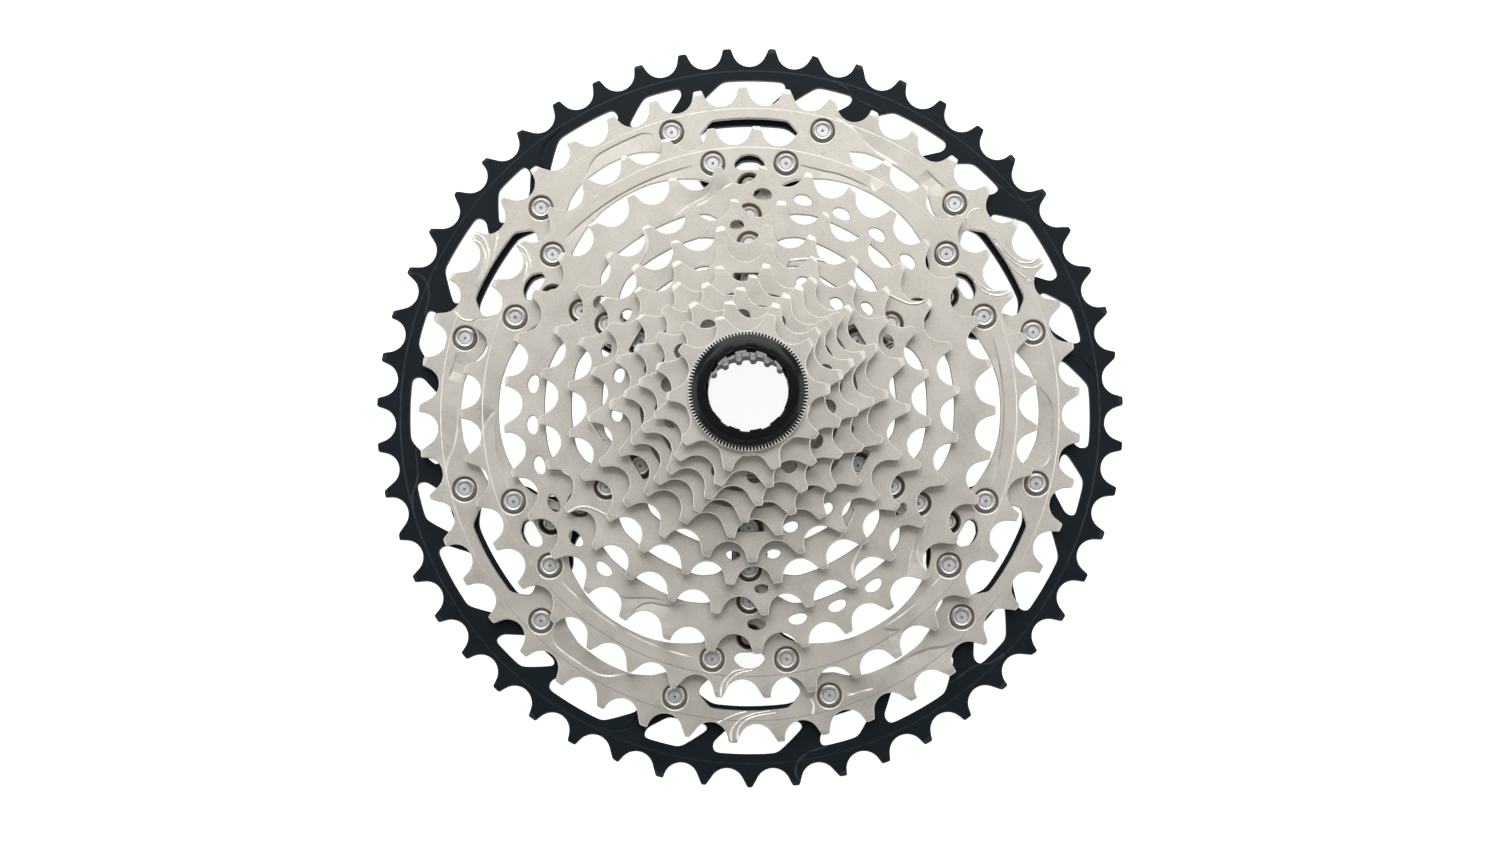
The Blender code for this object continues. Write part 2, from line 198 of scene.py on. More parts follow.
def inside(points, loops):
    """True for each point that lies in the material between the loops."""
    odd = np.zeros(len(points), bool)
    for loop in loops:
        x1, y1 = loop.T
        x2, y2 = np.roll(loop, -1, 0).T
        for start in range(0, len(points), BATCH):
            x, y = points[start : start + BATCH].T[:, :, None]
            crosses = (y1 > y) != (y2 > y)
            with np.errstate(divide="ignore", invalid="ignore"):
                left = x < (x2 - x1) * (y - y1) / (y2 - y1) + x1
            odd[start : start + BATCH] ^= (crosses & left).sum(1) % 2 == 1
    return odd


# Relief: each feature is the lines that a face folds along, the height that it gives each point, and the
# painted highlight that it puts on the face there, on the scale of the face numbers: from 1 on bare edges
# to below 0 in darkened recesses


def nearest(line, places):
    """Distance from each place to the nearest point of a line, and which point that is."""
    gaps, found = np.empty(len(places)), np.empty(len(places), int)
    for start in range(0, len(places), BATCH):
        part = np.linalg.norm(places[start : start + BATCH, None] - line[None], axis=2)
        found[start : start + BATCH] = part.argmin(1)
        gaps[start : start + BATCH] = part.min(1)
    return gaps, found


def crest_of(points):
    """Smooth line through (degrees, radius) points, and the normals on its left."""
    crest = along(bent(points), 0.35)
    for _ in range(10):
        crest[1:-1] = 0.5 * crest[1:-1] + 0.25 * (crest[:-2] + crest[2:])
    step = np.gradient(crest, axis=0)
    return crest, np.stack([-step[:, 1], step[:, 0]], -1) / np.linalg.norm(step, axis=1)[:, None]


def ridge(points, height, width, shade=0.6):
    """Raised or sunk line, lightened along its width by a painted highlight, or darkened by painted shade
    for a shade number below 0.
    """
    crest, normal = crest_of(points)

    def raised(places):
        return height * np.clip(1 - nearest(crest, places)[0] / width, 0, 1)

    # painted highlight along the ridge
    def marked(places):
        return shade * (nearest(crest, places)[0] < width)

    return [crest, crest + normal * width, crest - normal * width], raised, marked


def step_down(points, drop=0.25, width=0.45, shade=0.1):
    """Step down to the left of a line, from which the face climbs back slowly. It tapers at both ends."""
    fade = 6.0
    crest, normal = crest_of(points)
    ends = np.minimum(np.arange(len(crest)), np.arange(len(crest))[::-1])
    taper = min(22, len(crest) / 3)

    def signed(places):
        gaps, found = nearest(crest, places)
        beside = np.einsum("ij,ij->i", places - crest[found], normal[found])
        return np.where(beside > 0, gaps, -gaps), np.clip(ends[found] / taper, 0, 1)

    def lowered(places):
        gaps, share = signed(places)
        return -drop * share * np.clip(gaps / width, 0, 1) * np.clip(1 - (gaps - width) / fade, 0, 1)

    # painted highlight on the slope of the step
    def marked(places):
        gaps, share = signed(places)
        return shade * (share > 0) * (gaps > 0) * (gaps < width)

    return [crest, crest + normal * width, crest + normal * (width + fade)], lowered, marked


def rim_step(radius, depth=0.18, width=0.3, shade=0.6):
    """Toothed rim a little thinner than the ring inside it."""
    lines = [circle(radius, step=0.7), circle(radius + width, step=0.7)]

    def lowered(places):
        return -depth * np.clip((np.linalg.norm(places, axis=1) - radius) / width, 0, 1)

    # painted highlight on the slope of the step
    def marked(places):
        return shade * (np.abs(np.linalg.norm(places, axis=1) - radius - width / 2) < width / 2)

    return [np.vstack([line, line[:1]]) for line in lines], lowered, marked


def tip_bevels(teeth, start, pattern):
    """Face that falls away towards the tip of most teeth, along a line that leans one way or the other."""
    radius = pitch_radius(teeth)
    half_width, reach, slope = 3.6, 4.2, 0.13
    bevels = []
    for number in range(teeth):
        if pattern[number % len(pattern)] in "LN" or number % 3 == 0:
            lean = 0.28 if number % 2 else -0.12
            bevels.append((start + 360 * number / teeth, radius + 0.1 + 0.35 * (number % 2), lean))
    across = np.linspace(-half_width, half_width, 15)
    lines = [turned(np.stack([base + lean * across, across], -1), angle) for angle, base, lean in bevels]

    def lowered(places):
        drop = np.zeros(len(places))
        for angle, base, lean in bevels:
            local = turned(places, -angle)
            near = (np.abs(local[:, 1]) < reach) & (local[:, 0] > 0)
            drop += np.where(near, -slope * np.clip(local[:, 0] - base - lean * local[:, 1], 0, None), 0)
        return drop

    # the bevelled facets get a painted highlight, whichever way they face
    return lines, lowered, lambda places: 0.3 * (lowered(places) < -0.01)


# Meshes


def add_mesh(name, body, slot, points, faces, wear_and_painted_light, replaces):
    """A piece from points in millimetres, with a number for each face for wear, tarnish and painted light.
    """
    mesh = bpy.data.meshes.new(name)
    mesh.from_pydata((np.asarray(points) / 1000).tolist(), [], faces)
    mesh.shade_smooth()
    mesh.set_sharp_from_angle(angle=math.radians(SHARP))
    mesh.polygons.foreach_set("use_smooth", [len(face) != 3 for face in faces])
    attribute = mesh.attributes.new("wear_and_painted_light", "FLOAT", "FACE")
    attribute.data.foreach_set("value", np.asarray(wear_and_painted_light, np.float32))
    mesh.materials.append(materials[slot])
    piece = bpy.data.objects.new(name, mesh)
    bpy.context.scene.collection.objects.link(piece)
    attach(piece, body)
    if replaces:
        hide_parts(*replaces)


def flat_net(loops, lines):
    """Points, triangles and the loops' own points of a net between loops that also follows the lines."""
    coordinates, edges = [], []
    for loop in loops:
        first, count = len(coordinates), len(loop)
        coordinates += loop.tolist()
        edges += [(first + index, first + (index + 1) % count) for index in range(count)]
    rim_count = len(coordinates)
    margin, tolerance = 0.12, 1e-5  # the lines stay this far within the loops, and closer points are one
    shrunk = [inset(loop, margin) for loop in loops]
    for line in lines:
        kept = inside(line, shrunk)
        first = len(coordinates)
        coordinates += line.tolist()
        edges += [(first + i, first + i + 1) for i in range(len(line) - 1) if kept[i] and kept[i + 1]]
    net = delaunay_2d_cdt([Vector(point) for point in coordinates], edges, [], 0, tolerance, True)
    points = np.array([tuple(point) for point in net[0]])
    triangles = np.array(net[2])
    triangles = triangles[inside(points[triangles].mean(1), loops)]
    place = {origin: index for index, origins in enumerate(net[3]) for origin in origins}
    return points, triangles, [place[index] for index in range(rim_count)]


def build_plate(outline, holes, base, top, relief=(), seats=(), bores=()):
    """Points, faces and the numbers for wear, tarnish and painted light of a plate.

    seats are holes with a sunk and coined rim, and bores are holes with a machined wall. Each rim is a
    loop, its profile of (inset, drop, wear and painted light) from its wall to the face, and the number for
    its wall.
    """
    # chamfers are lightened as bare metal with a painted highlight; a seat's cone is darkened with tarnish
    # and painted shade, and its lip lightened with a painted highlight
    chamfered = [(0.0, EDGE, 0.65), (EDGE, 0.0, 0.0)]
    coined = [(0.0, 0.6, -1.0), (0.62, 0.07, 0.6), (0.84, 0.0, 0.0)]
    rims = [(faced(outline, True), chamfered, 0.0)]
    rims += [(faced(hole, False), chamfered, 0.0) for hole in holes]
    rims += [(faced(hole, False), coined, 0.0) for hole in seats]
    rims += [(faced(hole, False), chamfered, 1.0) for hole in bores]
    inner = [inset(loop, profile[-1][0]) for loop, profile, _ in rims]
    flat, triangles, rim = flat_net(inner, [line for feature in relief for line in feature[0]])

    def total(places, part):
        return sum((feature[part](places) for feature in relief), np.zeros(len(places)))

    used = np.unique(np.concatenate([triangles.ravel(), rim]))
    order = {int(old): new for new, old in enumerate(used)}
    flat = flat[used]
    triangles = np.vectorize(order.get)(triangles)
    rim = [order[int(index)] for index in rim]
    count = len(flat)
    points = [np.column_stack([flat, top + total(flat, 1)])]
    points.append(np.column_stack([flat, np.full(count, base)]))
    faces = triangles.tolist() + (triangles[:, ::-1] + count).tolist()
    wear_and_painted_light = total(flat[triangles].mean(1), 2).tolist() + [0.0] * len(triangles)
    first, made = 0, 2 * count
    for (loop, profile, wall), moved in zip(rims, inner):
        size = len(loop)
        height = top + total(moved, 1)
        tops = rim[first : first + size]
        rows, shares = [tops], []
        for width, drop, share in profile[-2::-1]:
            points.append(np.column_stack([inset(loop, width) if width else loop, height - drop]))
            rows.append(list(range(made, made + size)))
            shares.append(share)
            made += size
        points.append(np.column_stack([loop, np.full(size, base + EDGE)]))
        rows += [list(range(made, made + size)), [index + count for index in tops]]
        # the bottom chamfer is lightened fully, as bare metal with a painted highlight
        shares += [wall, 1.0]
        made += size
        for upper_row, lower_row, share in zip(rows, rows[1:], shares):
            for side in range(size):
                after = (side + 1) % size
                faces.append((lower_row[side], lower_row[after], upper_row[after], upper_row[side]))
                wear_and_painted_light.append(share)
        first += size
    return np.vstack(points), faces, wear_and_painted_light


def add_plate(name, body, slot, outline, holes, base, top, replaces=(), **shape):
    add_mesh(name, body, slot, *build_plate(outline, holes, base, top, **shape), replaces)


def add_turned(name, body, slot, rings, shades, replaces, closed=True):
    """A piece from rings of points, each joined to the next, and the last to the first if closed.

    shades gives the band after a ring its number for wear, tarnish and painted light, as a number or as a
    function of the side.
    """
    count = len(rings[0])
    points = np.vstack(rings)
    faces, wear_and_painted_light = [], []
    pairs = list(zip(range(len(rings)), list(range(1, len(rings))) + [0]))
    for lower, upper in pairs if closed else pairs[:-1]:
        for side in range(count):
            after = (side + 1) % count
            first, second = lower * count, upper * count
            faces.append((first + side, first + after, second + after, second + side))
            wear_and_painted_light.append(shades[lower](side) if callable(shades.get(lower)) else shades.get(lower, 0.0))
    if not closed:
        faces += [list(range(count))[::-1], [len(points) - count + side for side in range(count)]]
        wear_and_painted_light += [0.0, 0.0]
    add_mesh(name, body, slot, points, faces, wear_and_painted_light, replaces)


def ring_at(radius, height, count, place=(0, 0)):
    flat = polar(np.broadcast_to(radius, count), np.arange(count) * 360 / count) + np.asarray(place)
    return np.column_stack([flat, np.broadcast_to(height, count)])


# Materials


def node(tree, kind, **inputs):
    made = tree.nodes.new(kind)
    for name, value in inputs.items():
        made.inputs[name.replace("_", " ")].default_value = value
    return made


def spread(tree, source, low, high):
    """A noise value, mostly between 0.3 and 0.7, stretched over a range."""
    mapped = node(tree, "ShaderNodeMapRange", From_Min=0.3, From_Max=0.7, To_Min=low, To_Max=high)
    tree.links.new(source, mapped.inputs["Value"])
    return mapped.outputs["Result"]


def mixed(tree, share, first, second):
    """Colour between two others, each a colour or a socket."""
    mix = tree.nodes.new("ShaderNodeMix")
    mix.data_type = "RGBA"
    tree.links.new(share, mix.inputs["Factor"])
    for socket, colour in ((mix.inputs["A"], first), (mix.inputs["B"], second)):
        if isinstance(colour, tuple):
            socket.default_value = (*colour, 1)
        else:
            tree.links.new(colour, socket)
    return mix.outputs["Result"]


def metal(name, dark, light, wear_and_highlight_colour, stain_and_shade_colour, roughness, metallic=1.0, specular=0.5, flecks=0.22, bump=0.35,
          patch=90):
    """Blasted or anodised metal: cloudy colour, fine grain, faces lightened by their number for wear and
    painted highlights, and darkened by it for tarnish and painted shade.

    flecks is the most of the bright colour that shows in the grain, and patch the scale of the clouds.
    """
    material = bpy.data.materials.new(name)
    material.use_nodes = True
    tree = material.node_tree
    shader = tree.nodes["Principled BSDF"]
    shader.inputs["Metallic"].default_value = metallic
    shader.inputs["Specular IOR Level"].default_value = specular
    place = tree.nodes.new("ShaderNodeTexCoord").outputs["Object"]
    clouds = node(tree, "ShaderNodeTexNoise", Scale=patch, Detail=5.0, Roughness=0.62)
    specks = node(tree, "ShaderNodeTexNoise", Scale=GRAIN, Detail=2.0, Roughness=0.6)
    wear = node(tree, "ShaderNodeTexNoise", Scale=WEAR, Detail=3.0)
    for noise in (clouds, specks, wear):
        tree.links.new(place, noise.inputs["Vector"])
    cloudy = mixed(tree, spread(tree, clouds.outputs["Fac"], 0.0, 1.0), dark, light)
    fleck = mixed(tree, spread(tree, specks.outputs["Fac"], 0.0, flecks), cloudy, wear_and_highlight_colour)
    wear_and_painted_light = tree.nodes.new("ShaderNodeAttribute")
    wear_and_painted_light.attribute_name = "wear_and_painted_light"
    wear_and_highlight = node(tree, "ShaderNodeMath")
    wear_and_highlight.operation = "MULTIPLY"
    wear_and_highlight.use_clamp = True
    tree.links.new(wear_and_painted_light.outputs["Fac"], wear_and_highlight.inputs[0])
    tree.links.new(spread(tree, wear.outputs["Fac"], 0.35, 1.0), wear_and_highlight.inputs[1])
    brightened = mixed(tree, wear_and_highlight.outputs["Value"], fleck, wear_and_highlight_colour)
    stain_and_shade = node(tree, "ShaderNodeMath")
    stain_and_shade.operation = "MULTIPLY"
    stain_and_shade.use_clamp = True
    tree.links.new(wear_and_painted_light.outputs["Fac"], stain_and_shade.inputs[0])
    stain_and_shade.inputs[1].default_value = -0.85  # share of the dark colour, for tarnish and painted shade, for each 1 below 0
    tree.links.new(mixed(tree, stain_and_shade.outputs["Value"], brightened, stain_and_shade_colour), shader.inputs["Base Color"])
    rough = spread(tree, clouds.outputs["Fac"], roughness - 0.05, roughness + 0.07)
    tree.links.new(rough, shader.inputs["Roughness"])
    bumps = node(tree, "ShaderNodeBump", Strength=bump, Distance=0.00004)
    tree.links.new(specks.outputs["Fac"], bumps.inputs["Height"])
    tree.links.new(bumps.outputs["Normal"], shader.inputs["Normal"])
    return material


def plain(name, colour, glow):
    """Matt colour that also glows, so that shadows on it stay pale."""
    material = bpy.data.materials.new(name)
    material.use_nodes = True
    shader = material.node_tree.nodes["Principled BSDF"]
    shader.inputs["Base Color"].default_value = (*colour, 1)
    shader.inputs["Roughness"].default_value = 0.9
    shader.inputs["Emission Color"].default_value = (*colour, 1)
    shader.inputs["Emission Strength"].default_value = glow
    return material


# Each finish lightens towards its bright colour for wear and painted highlights, and darkens towards its
# recess colour for tarnish and painted shade
FINISHES = {
    "sprocket_silver": dict(
        dark=(0.408, 0.386, 0.342), light=(0.528, 0.501, 0.451), wear_and_highlight_colour=(0.88, 0.86, 0.80),
        stain_and_shade_colour=(0.19, 0.145, 0.1), roughness=0.46),
    "sprocket_black": dict(
        dark=(0.0006, 0.0045, 0.0071), light=(0.0016, 0.0071, 0.011), wear_and_highlight_colour=(0.075, 0.09, 0.11),
        stain_and_shade_colour=(0.001, 0.001, 0.001), roughness=0.4, metallic=0.0, specular=0.156, flecks=0.03),
    "carrier_black": dict(
        dark=(0.003, 0.003, 0.004), light=(0.006, 0.006, 0.007), wear_and_highlight_colour=(0.035, 0.036, 0.04),
        stain_and_shade_colour=(0.002, 0.002, 0.002), roughness=0.45, metallic=0.0, specular=0.1, flecks=0.1),
    "carrier_grey": dict(
        dark=(0.075, 0.07, 0.062), light=(0.12, 0.112, 0.1), wear_and_highlight_colour=(0.5, 0.48, 0.45),
        stain_and_shade_colour=(0.05, 0.045, 0.04), roughness=0.44),
    "rivet_steel": dict(
        dark=(0.46, 0.472, 0.475), light=(0.6, 0.612, 0.615), wear_and_highlight_colour=(0.86, 0.86, 0.85),
        stain_and_shade_colour=(0.15, 0.11, 0.07), roughness=0.36, patch=400),
    # the washer's dark colour paints the shade in the gaps of its serrations
    "washer_steel": dict(
        dark=(0.60, 0.59, 0.56), light=(0.72, 0.71, 0.68), wear_and_highlight_colour=(0.95, 0.94, 0.9),
        stain_and_shade_colour=(0.02, 0.018, 0.015), roughness=0.32),
    # the lock ring's bright colour paints the sheen on its bevel
    "lock_ring_black": dict(
        dark=(0.001, 0.001, 0.0013), light=(0.0022, 0.0022, 0.0026), wear_and_highlight_colour=(0.03, 0.031, 0.034),
        stain_and_shade_colour=(0.001, 0.001, 0.001), roughness=0.15, metallic=0.0, specular=0.22, flecks=0.08, bump=0.12),
}
materials = {name: metal(name, **finish) for name, finish in FINISHES.items()}


# Sprocket outlines


def toothed(teeth):
    """Outer edge of a sprocket, tooth by tooth."""
    start, pattern = TEETH[teeth]
    radius = pitch_radius(teeth)
    corners = []
    for number in range(teeth):
        angle = start + 360 * number / teeth
        first, second, _, right = SHAPES[pattern[number % len(pattern)]]
        left = SHAPES[pattern[(number + 1) % teeth % len(pattern)]][2]
        for x, y in (first, second):
            corners.append(polar(radius + y, angle + math.degrees(x / radius)))
        gap = angle + 180 / teeth
        hollow = polar(HOLLOW, gap + 180 + np.linspace(right, -left, 13))
        corners += list(polar(radius + HOLLOW - ROOT, gap) + hollow)
    return softened(corners, 0.2, 0.36)


def arc_window(inner, outer, half_angle, middle):
    points = [(-half_angle, outer), (half_angle, outer), (half_angle, inner), (-half_angle, inner)]
    return softened(bent([(middle + angle, radius) for angle, radius in points], True), 0.9)


def slot(radius, width, height, degrees):
    """Rounded opening below a tooth, flatter towards the axis."""
    around = np.radians(np.arange(0, 360, 15))
    outer, inner = 0.62, 0.38  # shares of the height beyond and within the widest place
    rise = np.where(np.sin(around) > 0, outer, inner) * height * np.sin(around)
    points = np.stack([radius - 0.12 * height + rise, width / 2 * np.cos(around)], -1)
    return softened(turned(points, degrees), 0.2, 0.3)


def both_sides(half, degrees):
    """(along, across) points of one side of an arm and their mirror images, turned to an angle."""
    whole = [(x, -y) for x, y in half] + [(x, y) for x, y in reversed(half) if y]
    return turned(whole, degrees)


def on_arm(half, degrees, reach):
    return softened(both_sides(half, degrees), reach)


def splined():
    """Bore with shallow splines."""
    points = []
    for spline in range(SPLINES):
        angle = 360 * spline / SPLINES
        points += [(angle - 3.4, SPLINE_ROOT), (angle + 3.4, SPLINE_ROOT)]
        points += [(angle + 5.4, SPLINE_CREST), (angle + 10.2, SPLINE_CREST)]
    return softened(bent(points, True, 0.3), 0.15, 0.3)


def star(half_arm, hub_radius):
    """Hub with six arms, from the (along, across) points of one side of an arm."""
    width = half_arm[0][1]
    root = (math.sqrt(hub_radius**2 - width**2), width)
    loop = []
    for arm in ARMS:
        loop += both_sides([root] + half_arm, arm).tolist()
        loop += [polar(hub_radius, arm + beside).tolist() for beside in (18, 24, 30, 36, 42)]
    return softened(loop, 1.2)


def tooth_angles(teeth, numbers):
    """Angles of a sprocket's teeth, counted from its first."""
    return [TEETH[teeth][0] + 360 * number / teeth for number in numbers]


def every_third(points):
    """The line and its copies a third and two thirds of a turn on."""
    return [[(angle + turn, radius) for angle, radius in points] for turn in (0, 120, 240)]


def ring(name, count):
    """Names of the CAD nodes of a ring of rivets."""
    return [f"{name}_{number:02d}" for number in range(1, count + 1)]


def seat_at(place, radius=SEAT):
    return circle(radius, place, 0.4)


def seats_of(*names):
    return [seat_at(centre(name)) for name in names]


# The three largest sprockets


def make_sprocket_51():
    base, top = level("sprocket_51t")
    lobe = [(0.5, 82.0), (8.3, 82.0), (11.4, 79.6), (13.5, 77.9)]
    lobe += [(17.5, 77.9), (19.6, 79.6), (22.7, 82.0)]
    inner = bent([(angle + 30 * field, radius) for field in range(12) for angle, radius in lobe], True)
    short = [(12.0, 95.2), (18.3, 95.2), (22.7, 89.0), (21.9, 87.8), (15.2, 87.8), (12.0, 92.6)]
    long = [(24.0, 95.2), (34.6, 95.2), (39.7, 88.8), (38.8, 87.0), (26.9, 87.0), (23.6, 92.6)]
    windows = []
    for field in range(12):
        for window in (short, long):
            moved = [(angle + 30 * field, radius) for angle, radius in window]
            windows.append(softened(bent(moved, True), 1.0))
    relief = [rim_step(97.7, 0.3, 0.5, 0.3), tip_bevels(51, *TEETH[51])]
    ramp = [(37.7, 104), (37.1, 101.5), (37.4, 99.2), (38.4, 97.2), (40.0, 96.0), (43.0, 95.5)]
    sweep = [(66.5, 93.9), (70.8, 94.3), (72.3, 95.4), (73.6, 97.0), (76.0, 97.7)]
    for line in every_third(ramp) + every_third(sweep):
        relief.append(ridge(line, 0.2, 0.3, 0.4))
    for line in every_third([(3.5, 97.2), (7.0, 96.4), (9.0, 94.6), (9.9, 91.5)]):
        relief.append(ridge(line, -0.2, 0.35, 0.0))
    holes = [softened(inner, 1.2)] + windows
    add_plate("sprocket_51", BODY_OF[51], "sprocket_black", toothed(51), holes, base, top, ["sprocket_51t"],
              relief=relief)


def make_sprocket_45():
    base, top = level("sprocket_45t")
    field = [(0, 80.7), (6, 80.2), (10.0, 78.4), (12.2, 76.4), (15.0, 75.6), (17.2, 72.0), (19.0, 66.5)]
    tab = [(22.0, 65.4), (25.2, 67.2), (26.0, 70.3), (25.0, 73.2), (21.8, 75.0)]
    window = [(19.9, 78.2), (19.9, 79.9), (22.6, 83.3), (30, 83.4)]
    relief = [rim_step(86.1), tip_bevels(45, *TEETH[45])]
    ramps = [
        [(26.9, 92.0), (26.6, 89.8), (27.2, 87.8), (28.6, 85.6), (31.0, 84.3), (34.0, 83.8)],
        [(28.0, 91.4), (27.8, 89.3), (28.5, 87.2), (29.9, 85.6), (32.0, 84.8), (35.0, 84.5)],
        [(24.3, 87.2), (26.0, 85.8), (27.6, 84.5), (29.2, 83.9)],
        [(41.6, 86.4), (42.3, 84.0), (41.8, 81.8)],
    ]
    beads = [
        [(108.7, 82.3), (109.4, 84.0), (110.9, 84.9), (120.5, 84.8), (122.6, 83.6), (125.0, 81.0)],
        [(48.6, 84.0), (51.6, 84.2), (54.0, 84.9)],
    ]
    sweep = [(74.0, 86.6), (72.0, 86.1), (69.5, 84.9), (67.0, 82.6), (64.0, 81.4), (59.0, 81.0)]
    for points in ramps:
        relief += [ridge(line, 0.16, 0.3, 1.0) for line in every_third(points)]
    for points in beads:
        relief += [step_down(line) for line in every_third(points)]
    relief += [step_down(line, 0.3, 0.65, shade=0.3) for line in every_third(sweep)]
    seats = seats_of(*ring("outer_rivet", 12), *ring("pair_rivet", 12))
    inner = softened(mirrored(field + tab + window), 0.6)
    add_plate("sprocket_45", BODY_OF[45], "sprocket_silver", toothed(45), [inner], base, top,
              ["sprocket_45t"], relief=relief, seats=seats)


def make_sprocket_39():
    base, top = level("sprocket_39t")
    field = [(0, 69.7), (6, 69.5), (11, 68.6), (15, 67.4), (18.6, 66.2), (21.6, 64.2)]
    tab = [(24.2, 60.8), (26.5, 58.6), (30, 57.9)]
    half_window = [(67.6, 0), (67.6, 2.9), (68.6, 4.2), (69.9, 4.2), (71.7, 2.4), (72.2, 0)]
    windows = [on_arm(half_window, arm, 0.5) for arm in ARMS]
    relief = [rim_step(74.1), tip_bevels(39, *TEETH[39])]
    ramps = [
        [(24.4, 80.0), (24.2, 77.6), (25.0, 75.2), (26.6, 73.0), (29.5, 72.3)],
        [(25.5, 79.4), (25.3, 77.0), (26.2, 74.9), (28.0, 73.3), (30.5, 72.7)],
    ]
    for points in ramps:
        relief += [ridge(line, 0.16, 0.3, 1.0) for line in every_third(points)]
    steps = [
        [(-17.5, 70.9), (0, 70.9), (17.5, 70.9)],
        [(61.5, 71.3), (69.5, 71.3), (73.0, 70.7), (79.5, 70.7)],
    ]
    sweep = [(68.0, 75.0), (66.0, 74.8), (64.0, 73.8), (62.0, 72.0), (60.5, 70.4)]
    for points in steps:
        relief += [step_down(line) for line in every_third(points)]
    relief += [step_down(line, 0.3, 0.65, shade=0.3) for line in every_third(sweep)]
    seats = seats_of(*ring("pair_rivet", 12), *ring("large_arm_rivet", 6))
    inner = softened(mirrored(field + tab), 0.8)
    add_plate("sprocket_39", BODY_OF[39], "sprocket_silver", toothed(39), [inner] + windows, base, top,
              ["sprocket_39t"], relief=relief, seats=seats)


def make_carrier_large():
    base, top = level("carrier_large")
    lower_top = level("sprocket_45t")[0] - CLEARANCE
    fork = [(30.0, 4.8), (54.0, 5.2), (59.5, 6.6), (62.3, 9.3), (63.9, 12.9)]
    rim = [(67.5, 15.1), (71.0, 14.6), (73.1, 11.3), (73.8, 6.0), (74.0, 0)]
    half_window = [(66.6, 0), (66.6, 3.2), (68.2, 4.6), (69.9, 4.4), (71.6, 2.2), (71.8, 0)]
    windows = [on_arm(half_window, arm, 0.5) for arm in ARMS]
    forks = star(fork + rim, HUB)
    ribs = star([(63.3, 3.9), (66.1, 2.7), (67.2, 0)], UPPER_HUB)
    bore = splined()
    add_plate("large_carrier_forks", "large_cluster", "carrier_black", forks, windows, base, lower_top,
              ["carrier_large"], bores=[bore])
    add_plate("large_carrier_ribs", "large_cluster", "carrier_black", ribs, [], lower_top - OVERLAP, top,
              bores=[bore])


def make_rivet(name, body, place, base, face, replaces=(), scale=1.0, rim_stain_and_shade=-0.6):
    """Rivet sunk in its seat: rim with painted shade and tarnish, bevelled head, a disc in it, and a centre
    mark.
    """
    steps = [(2.2, base), (2.2, face - 1.0), (2.96, face - 1.0), (2.96, face - 0.62), (2.56, face - 0.5)]
    steps += [(2.46, face - 0.02), (2.32, face + 0.06), (1.8, face - 0.04), (1.72, face - 0.14)]
    steps += [(1.6, face - 0.02), (0.42, face - 0.02), (0.1, face - 0.3)]
    rings = [ring_at(size * scale, height, 40, place) for size, height in steps]
    # bands below 0 get brown tarnish with painted shade, the rim the most for rivets that lie deep in shade;
    # band 5 gets a painted highlight
    shades = {2: -1.2, 3: rim_stain_and_shade, 4: -1.2, 5: 0.3, 6: -0.2, 7: -0.6, 8: -0.3, 10: -0.6}
    add_turned(name, body, "rivet_steel", rings, shades, replaces, closed=False)


def make_large_rivets():
    outer, middle = level("sprocket_45t")[1], level("sprocket_39t")[1]
    for name in ring("outer_rivet", 12):
        make_rivet(name + "_head", "large_cluster", centre(name), SUNK, outer, [name])
    for name in ring("pair_rivet", 12):
        make_rivet(name + "_head", "large_cluster", centre(name), SUNK, middle, [name])
    for name in ring("large_arm_rivet", 6):
        make_rivet(name + "_head", "large_cluster", centre(name), SUNK, middle, [name], 0.82, -1.2)


# The middle cluster


def make_sprocket_33():
    base, top = level("sprocket_33t")
    inner = mirrored([(0, 56.6), (12, 56.6), (18, 55.5), (22, 52.5), (25.5, 49.7), (30, 48.9)])
    below = tooth_angles(33, [3, 4, 5, 6, 7, 15, 16, 17, 18, 19, 20, 24, 25, 26, 27])
    slots = [slot(60.2, 5.2, 3.0, angle) for angle in below]
    relief = [tip_bevels(33, *TEETH[33])]
    for ramp in (98.7, 240.3, 316.8):
        lines = [[(12.5, 57.2), (10.2, 58.2), (7.5, 59.3), (3.2, 60.2), (1.2, 61.8), (0.2, 64), (0, 67)]]
        lines.append([(6.0, 58.2), (3.0, 59.0), (0.2, 60.4), (-2.0, 62.0), (-5.0, 63.4)])
        for line in lines:
            relief.append(step_down([(ramp + angle, radius) for angle, radius in line]))
    add_plate("sprocket_33", BODY_OF[33], "sprocket_silver", toothed(33), [softened(inner, 0.8)] + slots,
              base, top, ["sprocket_33t"], relief=relief, seats=seats_of(*ring("middle_arm_rivet", 6)))


def make_sprocket_28():
    base, top = level("sprocket_28t")
    inner = mirrored([(0, 48.9), (14, 48.9), (19, 47.5), (23, 44.0), (26, 41.6), (30, 40.9)])
    slots = [slot(50.8, 3.9, 2.4, angle) for angle in tooth_angles(28, (7, 11, 21, 25))]
    relief = [tip_bevels(28, *TEETH[28])]
    for quarter in range(4):
        line = [(30.9, 57.5), (31.0, 54.6), (32.5, 52.4), (35.0, 50.9), (38.0, 49.6)]
        relief.append(ridge([(angle + 90 * quarter, radius) for angle, radius in line], 0.2, 0.4))
    seats = [seat_at(polar(STUDS_28, arm)) for arm in ARMS]
    add_plate("sprocket_28", BODY_OF[28], "sprocket_silver", toothed(28), [softened(inner, 0.8)] + slots,
              base, top, ["sprocket_28t"], relief=relief, seats=seats)


